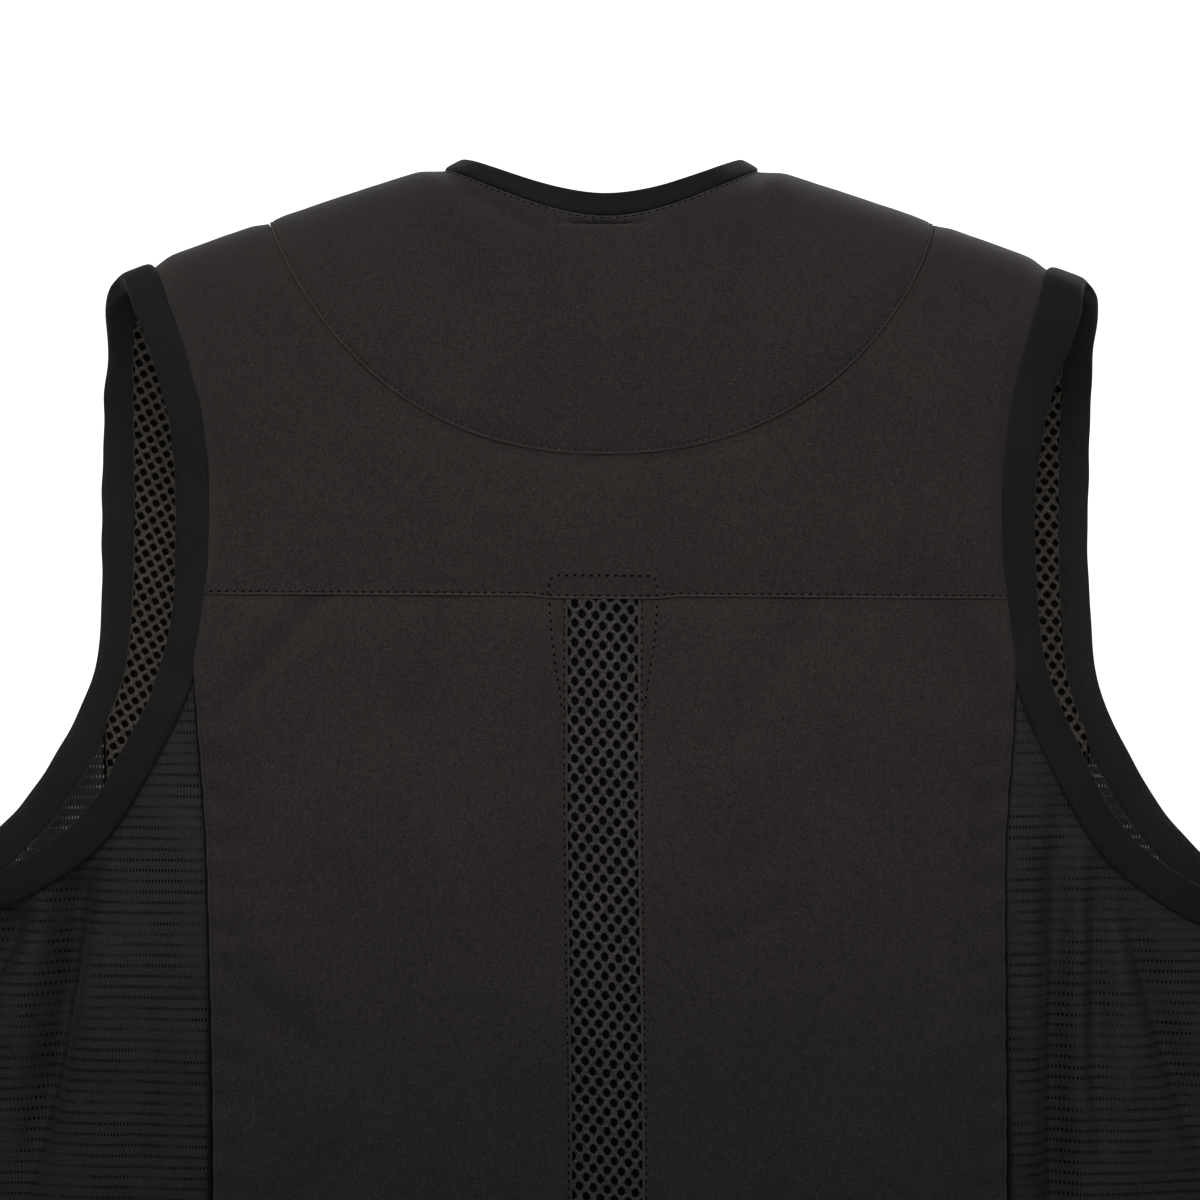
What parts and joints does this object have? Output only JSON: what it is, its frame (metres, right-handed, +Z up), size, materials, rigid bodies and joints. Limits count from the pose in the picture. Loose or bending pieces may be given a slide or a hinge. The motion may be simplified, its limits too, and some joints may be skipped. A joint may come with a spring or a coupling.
{
  "type": "airbag vest",
  "caption": "Sleeveless zip-front airbag riding vest with padded shell panels, curved back yoke, spacer-mesh spine strip, draped mesh sides and elastic-bound neck, armholes and hem.",
  "frame": {"origin": "middle of the neck hole, level with the two points where the shoulders meet the neck, which is where the vest sits on its wearer", "axes": "+Z up along the wearer's back, +Y towards the wearer's front, +X towards the wearer's right"},
  "size_m": [0.572, 0.1642, 0.6228],
  "materials": {
    "shell_fabric": "fine plain weave, matt charcoal",
    "spacer_mesh": "open hexagonal spacer mesh, black with a slight sheen",
    "side_mesh": "thin knitted pinhole mesh, black",
    "elastic_binding": "folded elastic binding, black satin",
    "zip_tape": "woven zip tape with a nylon coil, black"
  },
  "bodies": {
    "root": {"yoke_insert": "shell_fabric", "yoke": "shell_fabric", "back_panel_right": "shell_fabric", "back_panel_left": "shell_fabric", "spine_mesh": "spacer_mesh", "side_mesh_right": "side_mesh", "side_mesh_left": "side_mesh", "front_panel_right": "shell_fabric", "front_panel_left": "shell_fabric", "front_lining_right": "spacer_mesh", "front_lining_left": "spacer_mesh", "front_zip": "zip_tape", "neck_binding": "elastic_binding", "armhole_binding_right": "elastic_binding", "armhole_binding_left": "elastic_binding", "hem_binding": "elastic_binding"}
  },
  "joints": []
}
